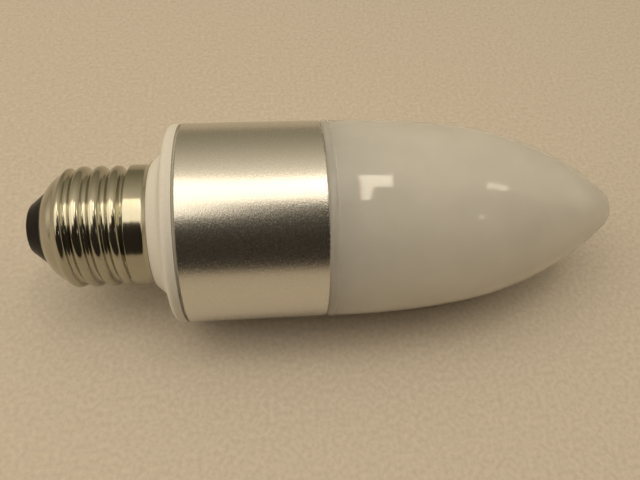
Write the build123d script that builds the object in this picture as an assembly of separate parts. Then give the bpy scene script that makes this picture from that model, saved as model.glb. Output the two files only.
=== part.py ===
from build123d import *

import math
import os

# An LED light bulb lying on its side. The lamp's axis runs along X, the screw cap points to -X and
# the frosted dome to +X. Every outline is drawn as (station along the axis, radius) from the contact.

# Screw cap: standard 27 mm lamp thread rolled into thin sheet
crest_d = 26.2  # over the rolled crests
skirt_proud = 0.05  # the plain band between thread and rim stands this far above the crests
thread_pitch = 3.629
crest_round = 1.35  # outside radius of a rolled crest
root_round = 0.7  # outside radius of the root between two crests
thread_start_angle = 199.5  # clocking of the thread's start, in degrees from +Y towards +Z
root_flat = 0.03  # the land between two turns stands this far above the bottom of the root arcs
shell_wall = 0.3
shell_length = 22.26  # crimped mouth to flared rim
mouth_d = 16.7  # outside of the crimped mouth round the insulator
shoulder_length = 4.78  # mouth to the full thread
shoulder_round = 18.3
lead_in = 3.15  # mouth to the cone at which the thread starts to rise
skirt_length = 3.65
run_out_length = 0.9  # slope from the thread's root up to the skirt
run_out_round = 0.6
flare_height = 0.75  # skirt out to the rim
flare_length = 0.9
flare_round = 0.5

# Black insulator and centre contact
insulator_height = 3.79  # mouth of the shell to the insulator's tip
insulator_tip_d = 10.6
insulator_round = 0.9
plug_depth = 3.0  # how far the insulator fills the shell behind the mouth
contact_d = 8.0
contact_thickness = 0.8
contact_proud = 0.25
contact_edge = 0.15
stem_d = 3.0
stem_bore_d = 0.8
stem_proud = 1.2  # eyelet beyond the insulator, where the live wire is soldered

# White collar: one moulding with the cap's spigot, the flange and the driver's tube
collar_length = 6.73  # cap rim to the rear face of the sleeve
rim_overhang = 0.2  # the cap's rim stands this far above the collar's rear edge
neck_length = 2.65  # conical neck behind the flange
neck_wall = 1.75  # around the driver's tube, where the cone meets the flange's back
neck_round = 3.0
flange_step = 0.1  # sleeve above the flange's rim
flange_band = 2.03  # width of the flange's rim before its edge is rounded
flange_round = 1.3
seam_width = 0.45  # shadow groove between flange and sleeve
seam_depth = 0.75
spigot_setback = 0.55  # spigot's end to the start of the cap's skirt
spigot_wall = 1.55
stop_depth = 3.1  # rim to the step that stops the driver board
register_length = 4.0
register_wall = 1.75
coring_depth = 1.3  # floor of the coring between register and tube, past the sleeve's rear face
tube_wall = 1.4
tube_gap = 0.8  # tube's end to the deck
boss_d = 5.0
boss_web = 0.5  # material between a screw's hole and the tube's bore
rib_thickness = 1.0
rib_overlap = 0.8  # how far a rib reaches over the driver board's edge
slot_width = 2.2  # slot in the spigot for the neutral wire
slot_land = 0.8  # what the slot leaves of the spigot at the rim

# Aluminium sleeve with the deck that carries the light engine
sleeve_d = 43.3
sleeve_length = 29.3
sleeve_wall = 2.2
sleeve_front_round = 0.4
sleeve_rear_chamfer = 0.2
deck_thickness = 3.5
deck_corner_round = 0.6
recess_depth = 4.2  # front rim down to the deck
wire_hole_d = 4.8

# Frosted dome
dome_proud = 0.1  # dome above the sleeve
dome_length = 66.9  # sleeve's front face to the tip
dome_wall = 1.8
dome_straight = 4.65  # sleeve's front face to the start of the curve
dome_shoulder_round = 182.0  # the bullet outline is three tangent arcs: shoulder, flank and nose
dome_flank_round = 72.0
dome_nose_round = 6.35
bead_proud = 0.05  # rounded rim bead above the dome
bead_round = 1.15
bead_notch = 0.12  # fine crease between bead and body
dome_spigot_length = 3.2

# Light engine: three power emitters on a round metal-core board
pad_thickness = 0.3
led_board_gap = 0.35  # board's edge to the dome's spigot
led_board_thickness = 1.6
led_count = 3
led_circle_d = 17.0
led_base_d = 7.6
led_base_height = 1.6
led_lens_d = 5.4
led_lens_height = 2.4
led_tab_length = 2.2
led_tab_width = 1.4
led_tab_thickness = 0.3

# Screws: pan heads on the light board, countersunk heads through the deck into the collar
board_screw_d = 2.5
board_screw_head_d = 4.6
board_screw_head_height = 1.7
board_screw_round = 0.6
board_screw_edge = 4.2  # screw's axis to the light board's edge
board_screw_grip = 2.8  # depth of thread in the deck
collar_screw_d = 2.9
collar_screw_head_d = 5.4
collar_screw_length = 14.0
collar_screw_sink = 0.1  # head below the deck's face
collar_screw_point = 0.8

# Driver board: a wide part in the tube and a tongue that reaches into the cap
driver_board_drop = 3.2  # board's middle below the lamp's axis
driver_board_thickness = 1.6
tongue_width = 16.0
tongue_clearance = 6.8  # contact's eyelet to the tongue's end
board_setback = 1.2  # board's front end behind the tube's end

# Transformer: two-window ferrite core, bobbin and winding
ferrite_length = 11.0
ferrite_width = 12.6
ferrite_height = 5.6
ferrite_leg = 2.5
ferrite_centre_leg = 2.6
bobbin_wall = 0.6
bobbin_flange = 0.7
bobbin_height = 11.6
winding_shy = 0.4  # winding stays this far inside the bobbin's flanges
winding_round = 1.2
transformer_setback = 2.0  # board's step to the ferrite

# Other parts on the driver board
input_cap_d = 8.0
input_cap_length = 11.5
input_cap_side = -3.4
output_cap_d = 5.0
output_cap_length = 11.0
cap_round = 0.5
cap_groove = 0.3
cap_groove_place = 1.8  # can's end to the crimped groove
choke_d = 6.0
choke_height = 7.5
choke_flange = 1.1
choke_waist_d = 5.0
small_part_side = 4.6
fuse_d = 3.0
fuse_length = 6.5
chip_length = 4.9
chip_width = 3.9
chip_height = 1.5
chip_lead_count = 4  # on each side
rectifier_length = 4.7
rectifier_width = 4.0
rectifier_height = 1.6
rectifier_lead_count = 2
diode_length = 2.8
diode_width = 4.2
diode_height = 2.1
diode_lead_count = 1
lead_width = 0.6
lead_thickness = 0.3
lead_reach = 1.0
part_gap = 0.5  # space between neighbours on the board

# Wires
wire_d = 1.2
wire_bend = 1.6
solder_run = 1.6  # length of wire along the pad it is soldered to
lead_spread = 0.9  # each light lead off the axis in the deck's hole
lead_side = 7.5  # where the light leads start on the driver board
lead_angle = 30.0  # the light leads run out between two emitters

# Fits
slip_fit = 0.1  # between mating round faces
guide_fit = 0.1  # between the driver board and its ribs
screw_fit = 0.05

# Stations along the axis
x_insulator_tip = contact_proud
x_mouth = x_insulator_tip + insulator_height
x_plug_end = x_mouth + plug_depth
x_stem_end = x_plug_end + stem_proud
x_thread = x_mouth + shoulder_length
x_rim = x_mouth + shell_length
x_flare = x_rim - flare_length
x_skirt = x_flare - skirt_length
x_run_out = x_skirt - run_out_length
x_spigot = x_skirt + spigot_setback
x_stop = x_rim + stop_depth
x_sleeve = x_rim + collar_length
x_front = x_sleeve + sleeve_length
x_deck = x_front - recess_depth
x_deck_back = x_deck - deck_thickness
x_tube_end = x_deck_back - tube_gap
x_board_end = x_tube_end - board_setback
x_tongue_end = x_stem_end + tongue_clearance
x_led_board = x_deck + pad_thickness
x_led_face = x_led_board + led_board_thickness
x_tip = x_front + dome_length

# Radii that several pieces share
crest_r = crest_d / 2
skirt_r = crest_r + skirt_proud
rim_r = skirt_r + flare_height
thread_rise = math.sqrt((crest_round + root_round) ** 2 - (thread_pitch / 2) ** 2)
root_r = crest_r - crest_round - root_round + thread_rise
land_r = root_r + root_flat
spigot_r = skirt_r - shell_wall - slip_fit
neck_bore_r = spigot_r - spigot_wall
sleeve_r = sleeve_d / 2
flange_r = sleeve_r - flange_step
bore_r = sleeve_r - sleeve_wall
register_r = bore_r - slip_fit
boss_circle_d = 2 * (bore_r - deck_corner_round - slip_fit) - boss_d
tube_bore_r = boss_circle_d / 2 - collar_screw_d / 2 - boss_web
tube_r = tube_bore_r + tube_wall
neck_r = tube_bore_r + neck_wall
dome_r = sleeve_r + dome_proud
bead_r = dome_r + bead_proud
dome_spigot_r = bore_r - slip_fit
led_board_d = 2 * (dome_spigot_r - dome_wall - led_board_gap)
board_screw_circle_d = led_board_d - 2 * board_screw_edge
rest_r = max(flange_r, sleeve_r, bead_r)

# Angles of the repeated pieces, in degrees from +Y towards +Z
led_angles = [90 + 360 / led_count * place for place in range(led_count)]
board_screw_angles = [angle + 180 / led_count for angle in led_angles]
collar_screw_angles = [0, 180]

# Driver board's faces and half width, with the lamp's axis at height 0
z_board_top = driver_board_thickness / 2 - driver_board_drop
z_board_bottom = z_board_top - driver_board_thickness
board_half = math.sqrt(tube_bore_r**2 - z_board_bottom**2) - guide_fit


def turned(*edges):
    """A piece turned about the lamp's axis from its closed half outline."""
    return revolve(make_face(Curve() + list(edges)), Axis.X)


def rod(diameter, x_from, x_to, y=0.0, z=0.0):
    """A round bar parallel to the lamp's axis."""
    return Pos((x_from + x_to) / 2, y, z) * Rot(Y=90) * Cylinder(diameter / 2, x_to - x_from)


def block(x_from, x_to, y_from, y_to, z_from, z_to):
    """A rectangular block between the given limits."""
    middle = Pos((x_from + x_to) / 2, (y_from + y_to) / 2, (z_from + z_to) / 2)
    return middle * Box(x_to - x_from, y_to - y_from, z_to - z_from)


def around(circle_d, angle):
    """The y and z of a point on a circle about the axis, at an angle from +Y towards +Z."""
    turn = math.radians(angle)
    return circle_d / 2 * math.cos(turn), circle_d / 2 * math.sin(turn)


def wire(*points):
    """A round wire along straight runs joined by tangent bends."""
    path = FilletPolyline(*points, radius=wire_bend)
    return sweep(Plane(path @ 0, z_dir=path % 0) * Circle(wire_d / 2), path=path)


# Screw shell: a smooth skin with shoulder, skirt and flared rim, plus the rolled thread. Both are made
# once for the outside and once, a wall deeper, for the hollow inside.
shoulder_centre = RadiusArc((x_mouth, mouth_d / 2), (x_thread, land_r), shoulder_round).arc_center


def shoulder(depth, x_to):
    """The shoulder's arc at a depth under the outer skin, from the mouth's plane to a station."""
    radius = shoulder_round - depth

    def on_arc(x):
        return x, shoulder_centre.Y + math.sqrt(radius**2 - (x - shoulder_centre.X) ** 2)

    return ThreePointArc(on_arc(x_mouth), on_arc((x_mouth + x_to) / 2), on_arc(x_to))


def shell_skin(depth):
    """All that lies inside the shell's smooth skin at a depth under its outer face."""
    run_out_lean = math.atan2(skirt_r - land_r, run_out_length)
    flare_lean = math.atan2(flare_height, flare_length)
    run_out_shift = depth * math.tan(run_out_lean / 2)
    flare_shift = depth * math.tan(flare_lean / 2)
    land = land_r - depth
    skirt = skirt_r - depth
    reach = math.sqrt((shoulder_round - depth) ** 2 - (land - shoulder_centre.Y) ** 2)
    nose = shoulder(depth, shoulder_centre.X - reach)
    side = FilletPolyline(
        nose @ 1,
        (x_run_out + run_out_shift, land),
        (x_skirt + run_out_shift, skirt),
        (x_flare + flare_shift, skirt),
        (x_rim, rim_r - depth / math.cos(flare_lean)),
        radius=[run_out_round + depth, run_out_round - depth, flare_round + depth],
    )
    ends = Polyline(side @ 1, (x_rim, 0), (x_mouth, 0), nose @ 0)
    return turned(nose, side, ends)


def rolled_thread(depth):
    """The thread's helical ridge at a depth under its outer face, trimmed by the lead-in cone."""
    half_pitch = thread_pitch / 2
    crest_centre = crest_r - crest_round
    root_centre = crest_centre + thread_rise
    root_arc = root_round + depth
    flank = math.asin(half_pitch / (crest_round + root_round))
    foot = math.acos(1 - root_flat / root_round) / 2

    def on_root(angle, side):
        across = half_pitch - root_arc * math.sin(angle)
        return side * across, root_centre - root_arc * math.cos(angle)

    def root_curve(side):
        return ThreePointArc(on_root(foot, side), on_root((foot + flank) / 2, side), on_root(flank, side))

    left = root_curve(-1)
    right = root_curve(1)
    crest = ThreePointArc(left @ 1, (0, crest_r - depth), right @ 1)
    x_lead = x_mouth + lead_in + depth * math.sqrt(2)
    lead_r = (shoulder(depth, x_lead) @ 1).Y
    sunk_r = lead_r - shell_wall
    base = Polyline(left @ 0, ((left @ 0).X, sunk_r), ((right @ 0).X, sunk_r), right @ 0)
    section = make_face(Curve() + [left, crest, right, base])

    x_start = x_mouth + half_pitch
    x_end = x_skirt + half_pitch
    helix = Helix(thread_pitch, x_end - x_start, crest_r, (x_start, 0, 0), (1, 0, 0))
    turns = math.ceil((x_end - x_start) / thread_pitch)
    path = Wire([helix.trim(turn / turns, (turn + 1) / turns) for turn in range(turns)])
    start = helix @ 0
    outward = Vector(0, start.Y, start.Z).normalized()
    start_plane = Plane((x_start, 0, 0), x_dir=(1, 0, 0), z_dir=Vector(1, 0, 0).cross(outward))
    ridge = sweep(start_plane * section, path=path, is_frenet=True)
    ridge = Rot(X=thread_start_angle - math.degrees(math.atan2(start.Z, start.Y))) * ridge

    limit_r = crest_r + crest_round
    x_apex = x_lead - lead_r
    limit = Polyline((x_apex, 0), (x_apex + limit_r, limit_r), (x_rim, limit_r), (x_rim, 0), close=True)
    return ridge & turned(limit)


outer_form = shell_skin(0) + rolled_thread(0)
inner_form = shell_skin(shell_wall) + rolled_thread(shell_wall)
screw_shell = outer_form - inner_form

# Cap insulator: black glass cast into the shell's mouth, with a seat for the contact
head_seat_r = contact_d / 2 + screw_fit
stem_hole_r = stem_d / 2 + screw_fit
plug_arc = shoulder(shell_wall, x_plug_end)
insulator_cone = FilletPolyline(
    (x_insulator_tip, head_seat_r),
    (x_insulator_tip, insulator_tip_d / 2),
    (x_mouth, mouth_d / 2),
    radius=insulator_round,
)
insulator_inside = Polyline(
    plug_arc @ 1,
    (x_plug_end, stem_hole_r),
    (contact_thickness, stem_hole_r),
    (contact_thickness, head_seat_r),
    insulator_cone @ 0,
)
cap_insulator = turned(insulator_cone, Line(insulator_cone @ 1, plug_arc @ 0), plug_arc, insulator_inside)

# Centre contact: a flat head in the insulator's seat, with a hollow eyelet through it
contact_outside = FilletPolyline(
    (0, 0),
    (0, contact_d / 2),
    (contact_thickness, contact_d / 2),
    (contact_thickness, stem_d / 2),
    (x_stem_end, stem_d / 2),
    (x_stem_end, stem_bore_d / 2),
    (x_plug_end, stem_bore_d / 2),
    (x_plug_end, 0),
    radius=[contact_edge, 0, 0, 0, 0, 0],
)
centre_contact = turned(contact_outside, Line((x_plug_end, 0), (0, 0)))

# Collar: one white moulding turned in outline, with bosses, guide ribs and the wire's slot added
collar_outside = FilletPolyline(
    (x_rim, rim_r - rim_overhang),
    (x_rim + neck_length, neck_r),
    (x_sleeve - seam_width - flange_band, flange_r),
    (x_sleeve - seam_width, flange_r),
    radius=[neck_round, flange_round],
)
collar_inside = Polyline(
    collar_outside @ 1,
    (x_sleeve - seam_width, flange_r - seam_depth),
    (x_sleeve, flange_r - seam_depth),
    (x_sleeve, register_r),
    (x_sleeve + register_length, register_r),
    (x_sleeve + register_length, register_r - register_wall),
    (x_sleeve + coring_depth, register_r - register_wall),
    (x_sleeve + coring_depth, tube_r),
    (x_tube_end, tube_r),
    (x_tube_end, tube_bore_r),
    (x_stop, tube_bore_r),
    (x_stop, neck_bore_r),
    (x_spigot, neck_bore_r),
    (x_spigot, spigot_r),
    (x_rim, spigot_r),
    collar_outside @ 0,
)
collar = turned(collar_outside, collar_inside)
mid_wall_d = tube_bore_r + tube_r  # bosses and ribs are rooted in the middle of the tube's wall
boss_trim = rod(mid_wall_d, x_sleeve, x_deck_back)
rib_limit = rod(mid_wall_d, x_stop, x_board_end)
for angle in collar_screw_angles:
    collar += rod(boss_d, x_sleeve, x_deck_back, *around(boss_circle_d, angle)) - boss_trim
for side in (-1, 1):
    for z_rib in (z_board_top + guide_fit, z_board_bottom - guide_fit - rib_thickness):
        rib_edges = sorted((side * (board_half - rib_overlap), side * tube_r))
        collar += block(x_stop, x_board_end, *rib_edges, z_rib, z_rib + rib_thickness) & rib_limit
for angle in collar_screw_angles:
    hole_d = collar_screw_d + 2 * screw_fit
    collar -= rod(hole_d, x_deck - collar_screw_length, x_deck, *around(boss_circle_d, angle))
slot_half = slot_width / 2
collar -= block(x_spigot, x_rim - slot_land, -slot_half, slot_half, -spigot_r, slot_width - neck_bore_r)

# Heat sink: turned aluminium sleeve, rounded at the front, with holes through its deck
sleeve_outline = FilletPolyline(
    (x_deck_back, 0),
    (x_deck_back, bore_r),
    (x_sleeve, bore_r),
    (x_sleeve, sleeve_r - sleeve_rear_chamfer),
    (x_sleeve + sleeve_rear_chamfer, sleeve_r),
    (x_front, sleeve_r),
    (x_front, bore_r),
    (x_deck, bore_r),
    (x_deck, 0),
    radius=[deck_corner_round, 0, 0, 0, sleeve_front_round, 0, 0],
)
heat_sink = turned(sleeve_outline, Line((x_deck, 0), (x_deck_back, 0)))
heat_sink -= rod(wire_hole_d, x_deck_back, x_deck)
countersink_depth = (collar_screw_head_d - collar_screw_d) / 2


def collar_screw(oversize):
    """A countersunk screw on the axis, larger all round by the oversize for cutting its hole."""
    x_head = x_deck - collar_screw_sink + oversize
    head_r = collar_screw_head_d / 2 + oversize
    shank_r = collar_screw_d / 2 + oversize
    x_end = x_deck - collar_screw_length
    x_neck = x_head - countersink_depth
    x_taper = x_end + collar_screw_point
    outline = [(x_head, 0), (x_head, head_r), (x_neck, shank_r), (x_taper, shank_r), (x_end, 0)]
    return turned(Polyline(*outline, close=True))


for angle in collar_screw_angles:
    y, z = around(boss_circle_d, angle)
    heat_sink -= Pos(0, y, z) * collar_screw(screw_fit)
    heat_sink -= rod(collar_screw_head_d + 2 * screw_fit, x_deck - collar_screw_sink, x_deck, y, z)
board_screw_hole_d = board_screw_d + 2 * screw_fit
for angle in board_screw_angles:
    heat_sink -= rod(board_screw_hole_d, x_deck_back, x_deck, *around(board_screw_circle_d, angle))

# Collar screws: countersunk under the light board
collar_screw_places = [Pos(0, *around(boss_circle_d, angle)) for angle in collar_screw_angles]
collar_screws = Part() + [place * collar_screw(0) for place in collar_screw_places]


def board_disc(x_from, x_to):
    """A round layer of the light engine, pierced for its wires and screws."""
    disc = rod(led_board_d, x_from, x_to) - rod(wire_hole_d, x_from, x_to)
    for angle in board_screw_angles:
        disc -= rod(board_screw_hole_d, x_from, x_to, *around(board_screw_circle_d, angle))
    return disc


# Thermal pad between the deck and the light board, and the light board itself
thermal_pad = board_disc(x_deck, x_led_board)
led_board = board_disc(x_led_board, x_led_face)

# Emitters: a round base with two solder tabs, and a clear lens on each
led_base = rod(led_base_d, x_led_face, x_led_face + led_base_height)
led_tab_reach = led_base_d / 2 + led_tab_length
led_base += block(
    x_led_face,
    x_led_face + led_tab_thickness,
    -led_tab_width / 2,
    led_tab_width / 2,
    -led_tab_reach,
    led_tab_reach,
)
x_lens = x_led_face + led_base_height
lens_round = (led_lens_d**2 / 4 + led_lens_height**2) / (2 * led_lens_height)
lens_outline = RadiusArc((x_lens, led_lens_d / 2), (x_lens + led_lens_height, 0), lens_round)
led_lens = turned(lens_outline, Polyline(lens_outline @ 1, (x_lens, 0), lens_outline @ 0))
led_places = [Pos(0, *around(led_circle_d, angle)) * Rot(X=angle) for angle in led_angles]
led_emitters = Part() + [place * led_base for place in led_places]
led_lenses = Part() + [place * led_lens for place in led_places]

# Board screws: pan heads that clamp the light board to the deck
x_screw_end = x_deck - board_screw_grip
screw_outline = FilletPolyline(
    (x_screw_end, 0),
    (x_screw_end, board_screw_d / 2),
    (x_led_face, board_screw_d / 2),
    (x_led_face, board_screw_head_d / 2),
    (x_led_face + board_screw_head_height, board_screw_head_d / 2),
    (x_led_face + board_screw_head_height, 0),
    radius=[0, 0, 0, board_screw_round],
)
board_screw = turned(screw_outline, Line(screw_outline @ 1, screw_outline @ 0))
board_screw_places = [Pos(0, *around(board_screw_circle_d, angle)) for angle in board_screw_angles]
board_screws = Part() + [place * board_screw for place in board_screw_places]

# Dome: a frosted shell with a spigot in the sleeve, a rounded bead at the rim and a bullet outline.
# The flank's centre lies where circles about the other two centres meet, so all three arcs are tangent.
dome_shoulder_centre = Vector(x_front + dome_straight, dome_r - dome_shoulder_round)
dome_nose_centre = Vector(x_tip - dome_nose_round, 0)
centre_line = dome_nose_centre - dome_shoulder_centre
shoulder_reach = dome_shoulder_round - dome_flank_round
nose_reach = dome_flank_round - dome_nose_round
along = (shoulder_reach**2 - nose_reach**2 + centre_line.length**2) / (2 * centre_line.length)
aside = math.sqrt(shoulder_reach**2 - along**2)
centre_way = centre_line.normalized()
dome_flank_centre = dome_shoulder_centre + centre_way * along + Vector(-centre_way.Y, centre_way.X) * aside


def lean(start, end):
    """The angle of the way from one centre to another, from the radial direction towards the tip."""
    return math.atan2(end.X - start.X, end.Y - start.Y)


def dome_curve(depth):
    """The dome's outline at a depth under its outer face, from the rim to the axis."""
    centres = [dome_shoulder_centre, dome_flank_centre, dome_nose_centre]
    leans = [0, lean(*centres[:2]), lean(*centres[1:]), math.pi / 2]
    rounds = [dome_shoulder_round, dome_flank_round, dome_nose_round]
    arcs = []
    for centre, radius, lean_from, lean_to in zip(centres, rounds, leans, leans[1:]):
        on_arc = [
            centre + Vector(math.sin(angle), math.cos(angle)) * (radius - depth)
            for angle in (lean_from, (lean_from + lean_to) / 2, lean_to)
        ]
        arcs.append(ThreePointArc(*on_arc))
    return arcs


outer_arcs = dome_curve(0)
inner_arcs = dome_curve(dome_wall)
bead_seat_r = bead_r - bead_round
crease_r = dome_r - bead_notch
x_crease = x_front + bead_round + math.sqrt(bead_round**2 - (crease_r - bead_seat_r) ** 2)
bead_arc = ThreePointArc(
    (x_front, bead_seat_r),
    (x_front + bead_round, bead_r),
    (x_crease, crease_r),
)
dome_rim = Polyline(bead_arc @ 1, (x_crease + bead_notch, dome_r), outer_arcs[0] @ 0)
dome_root = Polyline(
    inner_arcs[0] @ 0,
    (x_front + dome_wall, dome_spigot_r - dome_wall),
    (x_front - dome_spigot_length, dome_spigot_r - dome_wall),
    (x_front - dome_spigot_length, dome_spigot_r),
    (x_front, dome_spigot_r),
    bead_arc @ 0,
)
dome_axis = Line(outer_arcs[-1] @ 1, inner_arcs[-1] @ 1)
diffuser_dome = turned(bead_arc, dome_rim, *outer_arcs, dome_axis, *inner_arcs, dome_root)

# Driver board: stopped by the collar's step and held between its ribs
driver_board = block(x_stop, x_board_end, -board_half, board_half, z_board_bottom, z_board_top)
tongue_half = tongue_width / 2
driver_board += block(x_tongue_end, x_stop, -tongue_half, tongue_half, z_board_bottom, z_board_top)

# Transformer: winding and bobbin round the centre leg of a ferrite core with two windows
x_ferrite = x_stop + transformer_setback
x_ferrite_end = x_ferrite + ferrite_length
z_ferrite = z_board_top + bobbin_height / 2
window_width = (ferrite_width - 2 * ferrite_leg - ferrite_centre_leg) / 2
window_from = x_ferrite + ferrite_leg
window_to = x_ferrite_end - ferrite_leg


def framed(x_from, x_to, half_width, half_height):
    """A block centred on the ferrite's centre leg."""
    return block(x_from, x_to, -half_width, half_width, z_ferrite - half_height, z_ferrite + half_height)


ferrite_half = ferrite_height / 2
hollow_half_width = ferrite_centre_leg / 2 + slip_fit
hollow_half_height = ferrite_half + slip_fit
sleeve_half_width = hollow_half_width + bobbin_wall
sleeve_half_height = hollow_half_height + bobbin_wall
flange_half_width = ferrite_centre_leg / 2 + window_width - slip_fit
flange_half_height = bobbin_height / 2
transformer_core = framed(x_ferrite, x_ferrite_end, ferrite_width / 2, ferrite_half)
transformer_core -= framed(window_from, window_to, ferrite_centre_leg / 2 + window_width, ferrite_half)
transformer_core += framed(window_from, window_to, ferrite_centre_leg / 2, ferrite_half)
transformer_bobbin = framed(window_from, window_to, sleeve_half_width, sleeve_half_height)
for x_flange in (window_from, window_to - bobbin_flange):
    transformer_bobbin += framed(x_flange, x_flange + bobbin_flange, flange_half_width, flange_half_height)
transformer_bobbin -= framed(window_from, window_to, hollow_half_width, hollow_half_height)
winding_section = RectangleRounded(
    2 * (flange_half_width - winding_shy), 2 * (flange_half_height - winding_shy), winding_round
)
winding_section -= Rectangle(2 * sleeve_half_width, 2 * sleeve_half_height)
winding_plane = Plane((window_from + bobbin_flange, 0, z_ferrite), x_dir=(0, 1, 0), z_dir=(1, 0, 0))
transformer_winding = extrude(winding_plane * winding_section, window_to - window_from - 2 * bobbin_flange)


def capacitor(diameter, length):
    """A can capacitor along X from the origin, with a crimped groove near one end."""
    radius = diameter / 2
    outline = FilletPolyline(
        (0, 0),
        (0, radius),
        (cap_groove_place - cap_groove, radius),
        (cap_groove_place, radius - cap_groove),
        (cap_groove_place + cap_groove, radius),
        (length, radius),
        (length, 0),
        radius=[cap_round, 0, 0, 0, cap_round],
    )
    return turned(outline, Line(outline @ 1, outline @ 0))


# Can capacitors lying on the board, one along the tongue and one across it in front of the transformer
x_input_cap = x_stop - part_gap - input_cap_length
input_cap_place = Pos(x_input_cap, input_cap_side, z_board_top + input_cap_d / 2)
input_capacitor = input_cap_place * capacitor(input_cap_d, input_cap_length)
x_output_cap = x_ferrite_end + part_gap + output_cap_d / 2
output_cap_place = Pos(x_output_cap, -output_cap_length / 2, z_board_top + output_cap_d / 2) * Rot(Z=90)
output_capacitor = output_cap_place * capacitor(output_cap_d, output_cap_length)

# Filter choke: a wound drum standing on the tongue beside the input capacitor
choke_outline = Polyline(
    (0, 0),
    (0, choke_d / 2),
    (choke_flange, choke_d / 2),
    (choke_flange, choke_waist_d / 2),
    (choke_height - choke_flange, choke_waist_d / 2),
    (choke_height - choke_flange, choke_d / 2),
    (choke_height, choke_d / 2),
    (choke_height, 0),
    close=True,
)
x_choke = x_stop - part_gap - choke_d / 2
filter_choke = Pos(x_choke, small_part_side, z_board_top) * Rot(Y=-90) * turned(choke_outline)

# Fuse resistor lying between the choke and the tongue's end
x_fuse_end = x_choke - choke_d / 2 - part_gap
fuse_resistor = rod(fuse_d, x_fuse_end - fuse_length, x_fuse_end, small_part_side, z_board_top + fuse_d / 2)


def flat_package(x_from, length, width, height, leads):
    """A flat package under the board with the given number of leads on each side."""
    package = block(x_from, x_from + length, -width / 2, width / 2, z_board_bottom - height, z_board_bottom)
    reach = width / 2 + lead_reach
    for place in range(leads):
        x_lead = x_from + length * (place + 0.5) / leads
        package += block(
            x_lead - lead_width / 2,
            x_lead + lead_width / 2,
            -reach,
            reach,
            z_board_bottom - lead_thickness,
            z_board_bottom,
        )
    return package


# Flat parts under the board: rectifier on the tongue beside the neutral wire, switching chip and output
# diode in the tube
x_neutral_end = (x_spigot + x_rim - slot_land) / 2
x_neutral = x_neutral_end - solder_run
x_rectifier = x_neutral + wire_d / 2 + part_gap
bridge_rectifier = flat_package(
    x_rectifier, rectifier_length, rectifier_width, rectifier_height, rectifier_lead_count
)
x_chip = x_stop + transformer_setback
switching_chip = flat_package(x_chip, chip_length, chip_width, chip_height, chip_lead_count)
x_diode = x_chip + chip_length + 2 * part_gap
output_diode = flat_package(x_diode, diode_length, diode_width, diode_height, diode_lead_count)

# Live wire: from the tongue's end to the contact's eyelet
z_on_board = z_board_top + wire_d / 2
live_side = wire_d + part_gap
live_wire = wire(
    (x_tongue_end + solder_run, live_side, z_on_board),
    (x_tongue_end - wire_bend, live_side, z_on_board),
    (x_stem_end + solder_run, 0, 0),
    (x_stem_end, 0, 0),
)

# Neutral wire: down from the tongue, through the spigot's slot, to the inside of the shell's skirt
z_shell = -math.sqrt((skirt_r - shell_wall) ** 2 - (wire_d / 2) ** 2)
neutral_drop = z_board_bottom - z_shell
neutral_wire = wire(
    (x_neutral, 0, z_board_bottom),
    (x_neutral, 0, z_board_bottom - neutral_drop / 4),
    (x_neutral_end, 0, z_shell + neutral_drop / 3),
    (x_neutral_end, 0, z_shell),
)


def light_lead(side):
    """A wire from the driver board, up through the deck, to a pad on the light board."""
    x_turn = x_board_end - solder_run
    x_over = x_led_face + wire_d + slip_fit
    y_bend, z_bend = around(2 * (lead_spread + 2 * wire_bend), lead_angle)
    y_end, z_end = around(2 * (lead_spread + 2 * wire_bend + solder_run), lead_angle)
    return wire(
        (x_turn - 2 * solder_run, side * lead_side, z_on_board),
        (x_turn, side * lead_side, z_on_board),
        (x_tube_end - board_setback / 2, side * lead_spread, 0),
        (x_over, side * lead_spread, 0),
        (x_over, side * y_bend, z_bend),
        (x_led_face + wire_d / 2, side * y_end, z_end),
    )


light_lead_positive = light_lead(1)
light_lead_negative = light_lead(-1)

# The lamp lies at rest: moved so that the middle of its length stands over the origin, on the floor
lying = Pos(-x_tip / 2, 0, rest_r)
nodes = {
    "screw_shell": screw_shell,
    "cap_insulator": cap_insulator,
    "centre_contact": centre_contact,
    "collar": collar,
    "heat_sink": heat_sink,
    "collar_screws": collar_screws,
    "thermal_pad": thermal_pad,
    "led_board": led_board,
    "led_emitters": led_emitters,
    "led_lenses": led_lenses,
    "board_screws": board_screws,
    "diffuser_dome": diffuser_dome,
    "driver_board": driver_board,
    "transformer_core": transformer_core,
    "transformer_bobbin": transformer_bobbin,
    "transformer_winding": transformer_winding,
    "input_capacitor": input_capacitor,
    "output_capacitor": output_capacitor,
    "filter_choke": filter_choke,
    "fuse_resistor": fuse_resistor,
    "bridge_rectifier": bridge_rectifier,
    "switching_chip": switching_chip,
    "output_diode": output_diode,
    "live_wire": live_wire,
    "neutral_wire": neutral_wire,
    "light_lead_positive": light_lead_positive,
    "light_lead_negative": light_lead_negative,
}

os.makedirs("parts", exist_ok=True)
for name, solid in nodes.items():
    export_step(lying * solid, f"parts/{name}.step")
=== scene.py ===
import math

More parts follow.
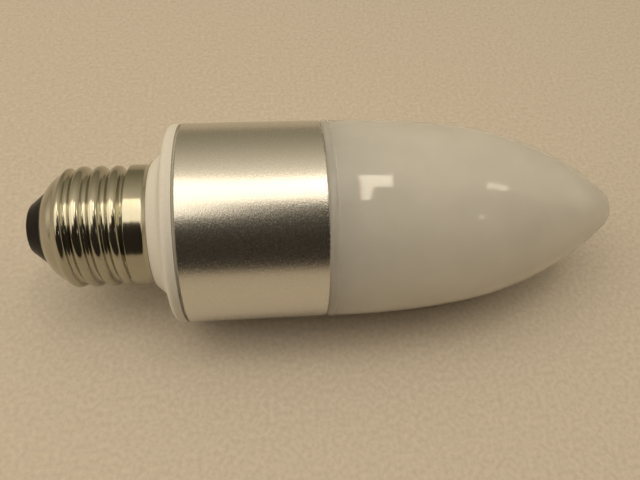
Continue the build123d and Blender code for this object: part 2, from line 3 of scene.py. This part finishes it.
import bpy
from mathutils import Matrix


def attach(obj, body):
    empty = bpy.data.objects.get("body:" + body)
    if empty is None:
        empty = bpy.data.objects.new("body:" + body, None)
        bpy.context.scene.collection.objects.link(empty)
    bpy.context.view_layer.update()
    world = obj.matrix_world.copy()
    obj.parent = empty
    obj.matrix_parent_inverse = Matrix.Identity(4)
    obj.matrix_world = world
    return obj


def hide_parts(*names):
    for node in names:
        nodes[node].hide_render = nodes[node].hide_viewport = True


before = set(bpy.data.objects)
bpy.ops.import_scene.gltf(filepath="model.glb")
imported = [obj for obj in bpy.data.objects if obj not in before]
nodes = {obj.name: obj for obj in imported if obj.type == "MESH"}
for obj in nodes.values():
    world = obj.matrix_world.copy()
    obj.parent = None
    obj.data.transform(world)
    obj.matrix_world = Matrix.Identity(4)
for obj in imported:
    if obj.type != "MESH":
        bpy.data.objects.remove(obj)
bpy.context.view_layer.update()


# Driver inside the collar's tube: a green glass-fibre board with a taped transformer, two can
# capacitors, a choke, a resistor and three flat packages. Everything on it is soldered through the
# board, which slides between two pairs of ribs.
grain_low, grain_high = 0.3, 0.7


def grain_group():
    """A cloudy grain: one noise that shades a colour, a roughness and a height."""
    group = bpy.data.node_groups.new("cloudy_grain", "ShaderNodeTree")
    sockets = group.interface
    for name, kind in (
        ("Vector", "NodeSocketVector"),
        ("Scale", "NodeSocketFloat"),
        ("Detail", "NodeSocketFloat"),
        ("Low Colour", "NodeSocketColor"),
        ("High Colour", "NodeSocketColor"),
        ("Low Roughness", "NodeSocketFloat"),
        ("High Roughness", "NodeSocketFloat"),
    ):
        sockets.new_socket(name, in_out="INPUT", socket_type=kind)
    for name, kind in (
        ("Colour", "NodeSocketColor"),
        ("Roughness", "NodeSocketFloat"),
        ("Height", "NodeSocketFloat"),
    ):
        sockets.new_socket(name, in_out="OUTPUT", socket_type=kind)
    enter = group.nodes.new("NodeGroupInput")
    leave = group.nodes.new("NodeGroupOutput")
    noise = group.nodes.new("ShaderNodeTexNoise")
    spread = group.nodes.new("ShaderNodeMapRange")
    spread.inputs["From Min"].default_value = grain_low
    spread.inputs["From Max"].default_value = grain_high
    shade = group.nodes.new("ShaderNodeMix")
    shade.data_type = "RGBA"
    polish = group.nodes.new("ShaderNodeMix")
    link = group.links.new
    link(enter.outputs["Vector"], noise.inputs["Vector"])
    link(enter.outputs["Scale"], noise.inputs["Scale"])
    link(enter.outputs["Detail"], noise.inputs["Detail"])
    link(noise.outputs["Fac"], spread.inputs["Value"])
    link(spread.outputs["Result"], shade.inputs["Factor"])
    link(enter.outputs["Low Colour"], shade.inputs["A"])
    link(enter.outputs["High Colour"], shade.inputs["B"])
    link(spread.outputs["Result"], polish.inputs["Factor"])
    link(enter.outputs["Low Roughness"], polish.inputs["A"])
    link(enter.outputs["High Roughness"], polish.inputs["B"])
    link(shade.outputs["Result"], leave.inputs["Colour"])
    link(polish.outputs["Result"], leave.inputs["Roughness"])
    link(noise.outputs["Fac"], leave.inputs["Height"])
    return group


cloudy_grain = grain_group()


def grained(name, low, high, rough, grain_mm, detail=3.0, height_mm=0.0, **constant):
    """A material whose colour, polish and relief follow the cloudy grain, with fixed sockets as named."""
    made = bpy.data.materials.new(name)
    made.use_nodes = True
    tree = made.node_tree
    surface = tree.nodes["Principled BSDF"]
    place = tree.nodes.new("ShaderNodeTexCoord")
    grain = tree.nodes.new("ShaderNodeGroup")
    grain.node_tree = cloudy_grain
    grain.inputs["Scale"].default_value = 1000.0 / grain_mm
    grain.inputs["Detail"].default_value = detail
    grain.inputs["Low Colour"].default_value = (*low, 1.0)
    grain.inputs["High Colour"].default_value = (*high, 1.0)
    grain.inputs["Low Roughness"].default_value = rough[0]
    grain.inputs["High Roughness"].default_value = rough[1]
    tree.links.new(place.outputs["Object"], grain.inputs["Vector"])
    tree.links.new(grain.outputs["Colour"], surface.inputs["Base Color"])
    tree.links.new(grain.outputs["Roughness"], surface.inputs["Roughness"])
    if height_mm:
        relief = tree.nodes.new("ShaderNodeBump")
        relief.inputs["Distance"].default_value = height_mm / 1000.0
        relief.inputs["Strength"].default_value = 1.0
        tree.links.new(grain.outputs["Height"], relief.inputs["Height"])
        tree.links.new(relief.outputs["Normal"], surface.inputs["Normal"])
    for socket, value in constant.items():
        surface.inputs[socket.replace("_", " ")].default_value = value
    return made


def dress(material, *names):
    """Gives CAD pieces their finish."""
    for name in names:
        nodes[name].data.materials.clear()
        nodes[name].data.materials.append(material)


dress(grained("green_board", (0.05, 0.19, 0.09), (0.08, 0.27, 0.13), (0.3, 0.45), 0.8), "driver_board")
dress(
    grained("ferrite", (0.05, 0.05, 0.055), (0.09, 0.09, 0.095), (0.5, 0.7), 0.15, detail=4, height_mm=0.01),
    "transformer_core",
)
dress(grained("bobbin", (0.02, 0.02, 0.02), (0.04, 0.04, 0.04), (0.35, 0.5), 0.5), "transformer_bobbin")
dress(
    grained(
        "yellow_tape",
        (0.78, 0.54, 0.05),
        (0.88, 0.66, 0.1),
        (0.2, 0.32),
        1.6,
        detail=2,
        height_mm=0.02,
    ),
    "transformer_winding",
)
dress(
    grained("blue_sleeve", (0.02, 0.035, 0.11), (0.035, 0.06, 0.16), (0.18, 0.3), 1.2),
    "input_capacitor",
    "output_capacitor",
)
dress(grained("black_sleeve", (0.025, 0.025, 0.025), (0.05, 0.05, 0.05), (0.4, 0.55), 0.6), "filter_choke")
dress(grained("resistor_coat", (0.27, 0.42, 0.30), (0.37, 0.52, 0.39), (0.35, 0.5), 0.5), "fuse_resistor")
dress(
    grained(
        "black_package",
        (0.02, 0.02, 0.025),
        (0.045, 0.045, 0.05),
        (0.45, 0.6),
        0.2,
        detail=4,
        height_mm=0.01,
    ),
    "bridge_rectifier",
    "switching_chip",
    "output_diode",
)

# Wires: thin insulated flex, red for live and the positive lead, black for the other two. They run
# from the driver to the cap, and through the deck to the light board, and are soldered at both ends.
dress(
    grained("red_flex", (0.42, 0.02, 0.015), (0.55, 0.04, 0.03), (0.25, 0.4), 0.8),
    "live_wire",
    "light_lead_positive",
)
dress(
    grained("black_flex", (0.015, 0.015, 0.015), (0.035, 0.035, 0.035), (0.25, 0.4), 0.8),
    "neutral_wire",
    "light_lead_negative",
)

# Collar: one satin white moulding with the cap's spigot, a conical neck and the round flange that
# meets the sleeve. It is moulded with a fine texture, and the sleeve is screwed to it.
dress(
    grained(
        "satin_white",
        (0.74, 0.72, 0.665),
        (0.78, 0.76, 0.705),
        (0.48, 0.58),
        0.6,
        detail=4,
        height_mm=0.004,
    ),
    "collar",
)

# Screw shell: a cup drawn from thin brass sheet, with a round thread rolled into it and bright nickel
# plate all over. It is pushed on the collar's spigot, and its mouth is crimped round the insulator.
# The first three values are in metres. Stations from the contact's face and radii are in millimetres.
axis_height = 0.0218
contact_face = -0.064615
shell_wall = 0.0003
mouth_at, mouth_radius = 4.04, 8.35
shoulder_at, shoulder_radius, shoulder_round = 8.6, 12.3, 8.4
root_radius, root_clear = 12.02, 0.5
run_out_at, skirt_at, skirt_radius = 20.85, 21.75, 13.15
flare_at, rim_at, rim_radius = 25.4, 26.3, 13.9
crest_radius, crest_round, root_round = 13.1, 1.35, 0.7
thread_pitch, crest_at, crest_angle = 3.629, 5.8545, 199.5
lead_in_at, lead_in_radius, lead_in_edge = 7.19, 11.5, 0.64
rolled_edge, under_slope = 0.16, 1.0
shoulder_rings, shoulder_step = 12, 0.24
thread_rings, thread_step = 128, 0.12
skirt_rings, skirt_step = 14, 0.25
flare_rings, flare_step, flare_rings_at = 9, 0.09, 25.45
spin_steps, smooth_within = 180, 50


def spun(name, outline):
    """A piece spun about the lamp's axis from points of station and radius, in millimetres."""
    point_size, same_point = 0.001, 1e-7
    bpy.ops.object.select_all(action="DESELECT")
    bpy.ops.mesh.primitive_plane_add(size=point_size, location=(0, 0, 0))
    piece = bpy.context.object
    piece.name = name
    places = [(contact_face + at / 1000, 0, axis_height + radius / 1000) for at, radius in outline]
    bpy.ops.object.mode_set(mode="EDIT")
    bpy.ops.mesh.select_all(action="SELECT")
    bpy.ops.mesh.merge(type="CENTER")
    bpy.ops.transform.translate(value=places[0])
    for before, after in zip(places, places[1:]):
        step = [b - a for a, b in zip(before, after)]
        bpy.ops.mesh.extrude_vertices_move(TRANSFORM_OT_translate={"value": step})
    bpy.ops.mesh.select_all(action="SELECT")
    bpy.ops.mesh.spin(steps=spin_steps, angle=2 * math.pi, center=(0, 0, axis_height), axis=(1, 0, 0))
    bpy.ops.mesh.select_all(action="SELECT")
    bpy.ops.mesh.remove_doubles(threshold=same_point)
    bpy.ops.mesh.normals_make_consistent(inside=False)
    bpy.ops.object.mode_set(mode="OBJECT")
    return piece


def softer(a, b, edge, larger):
    """The larger or the smaller of two heights, with the crease between them rounded."""
    blend = max(edge - abs(a - b), 0.0) ** 2 / (4 * edge)
    return max(a, b) + blend if larger else min(a, b) - blend


def between(at, low, high, from_value, to_value):
    """A straight slope between two stations, level outside them."""
    share = min(max((at - low) / (high - low), 0.0), 1.0)
    return from_value + share * (to_value - from_value)


def smooth_cup(at):
    """The cup's outer radius before the thread is rolled."""
    if at < shoulder_at:
        chord = (shoulder_at - mouth_at, shoulder_radius - mouth_radius)
        length = math.hypot(*chord)
        sag = math.sqrt(shoulder_round**2 - length**2 / 4)
        centre_at = (mouth_at + shoulder_at) / 2 + chord[1] / length * sag
        centre_radius = (mouth_radius + shoulder_radius) / 2 - chord[0] / length * sag
        return centre_radius + math.sqrt(shoulder_round**2 - (at - centre_at) ** 2)
    under_radius = root_radius - root_clear
    under_thread = between(at, shoulder_at, shoulder_at + under_slope, shoulder_radius, under_radius)
    run_out = between(at, run_out_at, skirt_at, under_radius, skirt_radius)
    flare = skirt_radius + (at - flare_at) / (rim_at - flare_at) * (rim_radius - skirt_radius)
    return softer(max(under_thread, run_out), flare, rolled_edge, True)


def rolled(at, angle):
    """The radius of the shell at a station and an angle in degrees, with its thread."""
    crest = crest_at + (angle - crest_angle) / 360 * thread_pitch
    off = abs((at - crest + thread_pitch / 2) % thread_pitch - thread_pitch / 2)
    root_off = thread_pitch / 2 - off
    flank = crest_round / (crest_round + root_round) * thread_pitch / 2
    if off < flank:
        wave = crest_radius - crest_round + math.sqrt(crest_round**2 - off**2)
    else:
        wave = root_radius + root_round - math.sqrt(root_round**2 - root_off**2)
    wave = softer(wave, lead_in_radius + at - lead_in_at, lead_in_edge, False)
    return softer(smooth_cup(at), wave, rolled_edge, True)


stations = [mouth_at + shoulder_step * ring for ring in range(shoulder_rings)]
stations += [stations[-1] + thread_step * (ring + 1) for ring in range(thread_rings)]
stations += [stations[-1] + skirt_step * (ring + 1) for ring in range(skirt_rings)]
stations += [flare_rings_at + flare_step * ring for ring in range(flare_rings)] + [rim_at]
stations = sorted(round(at, 3) for at in stations if at <= rim_at)
shell = spun("screw_shell_skin", [(at, smooth_cup(at)) for at in stations])
for point in shell.data.vertices:
    at = (point.co.x - contact_face) * 1000
    angle = math.atan2(point.co.z - axis_height, point.co.y)
    radius = rolled(at, math.degrees(angle)) / 1000
    point.co.y = radius * math.cos(angle)
    point.co.z = axis_height + radius * math.sin(angle)
sheet = shell.modifiers.new("sheet", "SOLIDIFY")
sheet.thickness = shell_wall
sheet.offset = -1
bpy.ops.object.modifier_apply(modifier="sheet")
bpy.ops.object.shade_smooth_by_angle(angle=math.radians(smooth_within))
shell.data.materials.append(
    grained(
        "bright_nickel",
        (0.42, 0.40, 0.32),
        (0.48, 0.46, 0.37),
        (0.11, 0.18),
        5.0,
        detail=5,
        Metallic=1.0,
    )
)
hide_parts("screw_shell")
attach(shell, "root")

# Cap insulator: opaque black glass, cast hot into the shell's mouth, so it is smooth and glossy
# with a slightly uneven skin.
dress(
    grained(
        "black_glass",
        (0.003, 0.0026, 0.002),
        (0.007, 0.006, 0.0045),
        (0.2, 0.32),
        2.0,
        height_mm=0.02,
        Specular_IOR_Level=0.08,
    ),
    "cap_insulator",
)

# Centre contact: a nickel-plated brass disc in the insulator's seat, wiped with solder where the live
# wire comes through its eyelet.
dress(
    grained(
        "soldered_contact",
        (0.50, 0.48, 0.44),
        (0.68, 0.66, 0.61),
        (0.2, 0.42),
        1.5,
        detail=4,
        height_mm=0.05,
        Metallic=1.0,
    ),
    "centre_contact",
)

# Heat sink: an aluminium sleeve turned from bar with the deck left in it, then blasted with fine
# beads, which leaves an even satin grain, and screwed to the collar from inside.
dress(
    grained(
        "blasted_aluminium",
        (0.69, 0.675, 0.63),
        (0.73, 0.715, 0.67),
        (0.22, 0.28),
        0.36,
        height_mm=0.013,
        Metallic=1.0,
    ),
    "heat_sink",
)

# Light engine: a white board on a grey pad, screwed to the sleeve's deck, with three emitters under
# clear lenses. All screws are zinc-plated steel.
dress(
    grained("grey_pad", (0.40, 0.41, 0.42), (0.48, 0.49, 0.50), (0.7, 0.85), 0.4, height_mm=0.01),
    "thermal_pad",
)
dress(grained("white_board", (0.80, 0.80, 0.78), (0.86, 0.86, 0.84), (0.3, 0.4), 0.8), "led_board")
dress(grained("emitter_body", (0.78, 0.77, 0.73), (0.85, 0.84, 0.80), (0.3, 0.4), 0.6), "led_emitters")
dress(
    grained(
        "clear_lens",
        (0.92, 0.84, 0.48),
        (0.97, 0.90, 0.60),
        (0.05, 0.1),
        1.5,
        Transmission_Weight=0.6,
        IOR=1.45,
    ),
    "led_lenses",
)
dress(
    grained("zinc_screw", (0.50, 0.50, 0.49), (0.60, 0.60, 0.59), (0.25, 0.4), 0.5, Metallic=1.0),
    "collar_screws",
    "board_screws",
)

# Dome: opal plastic blown and moulded to a bullet, glossy outside, with a rounded bead at the rim and
# a spigot that is glued into the sleeve.
opal = grained(
    "opal_plastic",
    (0.61, 0.59, 0.54),
    (0.65, 0.63, 0.575),
    (0.03, 0.06),
    9.0,
    Subsurface_Weight=1.0,
    Subsurface_Radius=(0.045, 0.040, 0.033),
    Subsurface_Scale=1.0,
)
opal.node_tree.nodes["Principled BSDF"].subsurface_method = "BURLEY"
dress(opal, "diffuser_dome")

# Studio: a plain pale floor of fine-grained paper under soft panels. Two small bright panels stand for a
# window, two strips give the dome its small lights, and the room is dim behind the viewer.
floor_size = 6.0
panel_colour = (1.0, 0.88, 0.69)
side_lift = 0.2
room_tones = (
    (0.42, (0.030, 0.023, 0.017)),
    (0.66, (0.89, 0.765, 0.575)),
    (0.83, (0.56, 0.48, 0.345)),
    (1.0, (0.28, 0.24, 0.155)),
)
bpy.ops.object.select_all(action="DESELECT")
bpy.ops.mesh.primitive_plane_add(size=floor_size, location=(0, 0, 0))
floor = bpy.context.object
floor.name = "floor"
floor.data.materials.append(
    grained(
        "pale_paper",
        (0.57, 0.51, 0.43),
        (0.68, 0.605, 0.515),
        (0.6, 0.75),
        1.1,
        detail=2,
        height_mm=0.16,
    )
)


def panel(name, near_angle, side_angle, width, depth, radiance):
    """A flat light 1 m from the lamp, seen at an angle over the viewer's horizon and one to the side."""
    up, side = math.radians(near_angle), math.radians(side_angle)
    way = (math.sin(side), -math.cos(side) * math.cos(up), math.cos(side) * math.sin(up))
    light = bpy.data.lights.new(name, "AREA")
    light.shape = "RECTANGLE"
    light.size = width
    light.size_y = depth
    light.energy = radiance * math.pi * width * depth
    light.color = panel_colour
    lamp = bpy.data.objects.new(name, light)
    bpy.context.scene.collection.objects.link(lamp)
    lamp.location = way
    lamp.rotation_mode = "XYZ"
    lamp.rotation_euler = (math.asin(-way[1]), math.asin(way[0]), 0)


panel("main_panel", 88.3, 0, 0.245, 0.455, 2.0)
panel("left_panel", 82.5, -20, 0.45, 0.75, 2.0)
panel("window_top", 94.5, 13.1, 0.11, 0.23, 8.0)
panel("window_side", 81, 10.9, 0.034, 0.24, 8.0)
panel("far_strip", 91.5, 42.5, 0.16, 0.12, 4.0)
panel("low_strip", 50, 36.5, 0.06, 0.08, 3.5)
panel("end_panel", 81, -52, 0.8, 0.66, 1.25)

world = bpy.data.worlds.new("room")
bpy.context.scene.world = world
world.use_nodes = True
sky = world.node_tree
way = sky.nodes.new("ShaderNodeTexCoord")
split = sky.nodes.new("ShaderNodeSeparateXYZ")
range_y = sky.nodes.new("ShaderNodeMapRange")
range_y.inputs["From Min"].default_value = -1.0
ramp = sky.nodes.new("ShaderNodeValToRGB")
stops = ramp.color_ramp.elements
for number, (place, tone) in enumerate(room_tones):
    stop = stops[number] if number < len(stops) else stops.new(place)
    stop.position = place
    stop.color = (*tone, 1)
aside = sky.nodes.new("ShaderNodeMath")
aside.operation = "ABSOLUTE"
spread = sky.nodes.new("ShaderNodeMath")
spread.operation = "MULTIPLY_ADD"
spread.inputs[1].default_value = side_lift
sky.links.new(way.outputs["Generated"], split.inputs["Vector"])
sky.links.new(split.outputs["X"], aside.inputs[0])
sky.links.new(aside.outputs["Value"], spread.inputs[0])
sky.links.new(split.outputs["Y"], spread.inputs[2])
sky.links.new(spread.outputs["Value"], range_y.inputs["Value"])
sky.links.new(range_y.outputs["Result"], ramp.inputs["Fac"])
sky.links.new(ramp.outputs["Color"], sky.nodes["Background"].inputs["Color"])

# Camera: close above the lamp on the viewer's side, as the photograph was taken, with the cap to the
# left and the dome's tip to the right.
camera_place = (-0.01377, -0.07718, 0.13202)
camera_turn = (33.13, -2.727, -4.451)
lens = bpy.data.cameras.new("camera")
lens.sensor_width = 36.0
lens.lens = 33.75
lens.clip_start = 0.005
lens.clip_end = 20.0
camera = bpy.data.objects.new("camera", lens)
bpy.context.scene.collection.objects.link(camera)
camera.location = camera_place
camera.rotation_euler = [math.radians(angle) for angle in camera_turn]
bpy.context.scene.camera = camera
bpy.context.scene.view_settings.view_transform = "Standard"
